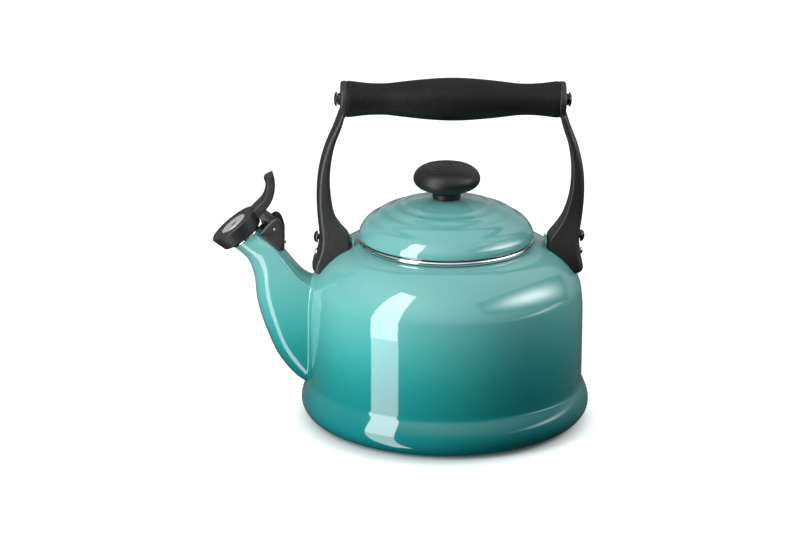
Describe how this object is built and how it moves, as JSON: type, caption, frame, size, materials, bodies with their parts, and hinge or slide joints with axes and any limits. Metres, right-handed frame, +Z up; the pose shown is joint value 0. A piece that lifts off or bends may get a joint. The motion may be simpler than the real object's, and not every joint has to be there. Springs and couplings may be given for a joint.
{
  "type": "stovetop whistling kettle",
  "caption": "Enamelled steel stovetop kettle with a fixed bail handle, a lift-off domed lid and a spout cap that whistles and swings open by a thumb lever.",
  "frame": {"origin": "centre of the flat base, where the kettle rests on the hob", "axes": "+Z up, spout towards -X, whistle hinge along Y"},
  "size_m": [0.2557, 0.196, 0.2364],
  "materials": {
    "enamel": "gloss vitreous enamel, light teal at the shoulder shading to deep teal at the base",
    "enamel_light": "gloss vitreous enamel, light teal",
    "stainless": "polished stainless steel",
    "phenolic": "fine-grained black phenolic",
    "black_screw": "gloss black domed screws",
    "plated_steel": "zinc-plated",
    "spring_steel": "bright wire",
    "brass": "turned brass",
    "aluminium": "satin pressed sheet"
  },
  "bodies": {
    "kettle": {"body_shell": "enamel", "base_pan": "enamel", "spout": "enamel", "lug_rear": "enamel", "lug_front": "enamel", "whistle_lug": "enamel", "opening_rim": "stainless", "spout_rim": "stainless", "arm_rear": "phenolic", "arm_front": "phenolic", "grip": "phenolic", "grip_washer_rear": "phenolic", "grip_washer_front": "phenolic", "whistle_housing": "phenolic", "grip_screw_rear": "black_screw", "grip_screw_front": "black_screw", "foot_screw_rear": "black_screw", "foot_screw_front": "black_screw", "foot_rivet_rear": "plated_steel", "foot_rivet_front": "plated_steel", "foot_nut_rear": "plated_steel", "foot_nut_front": "plated_steel", "whistle_pin": "plated_steel", "whistle_housing_screw": "plated_steel", "whistle_spring": "spring_steel", "grip_insert_rear": "brass", "grip_insert_front": "brass"},
    "lid": {"lid_shell": "enamel_light", "lid_skirt": "stainless", "knob": "phenolic", "knob_insert": "brass", "knob_screw": "plated_steel", "knob_washer": "plated_steel"},
    "whistle": {"whistle_cap": "phenolic", "whistle_plate_outer": "aluminium", "whistle_plate_inner": "aluminium"}
  },
  "joints": [
    {"name": "whistle_hinge", "type": "hinge", "parent": "kettle", "child": "whistle", "pos_m": [-0.1159, 0, 0.1343], "axis": [0, 1, 0], "range_deg": [0, 46], "stiffness_Nm_per_rad": 0.04, "springref_deg": -20.05},
    {"name": "lid_lift", "type": "slide", "parent": "kettle", "child": "lid", "axis": [0, 0, 1], "range_m": [0, 0.028]}
  ]
}
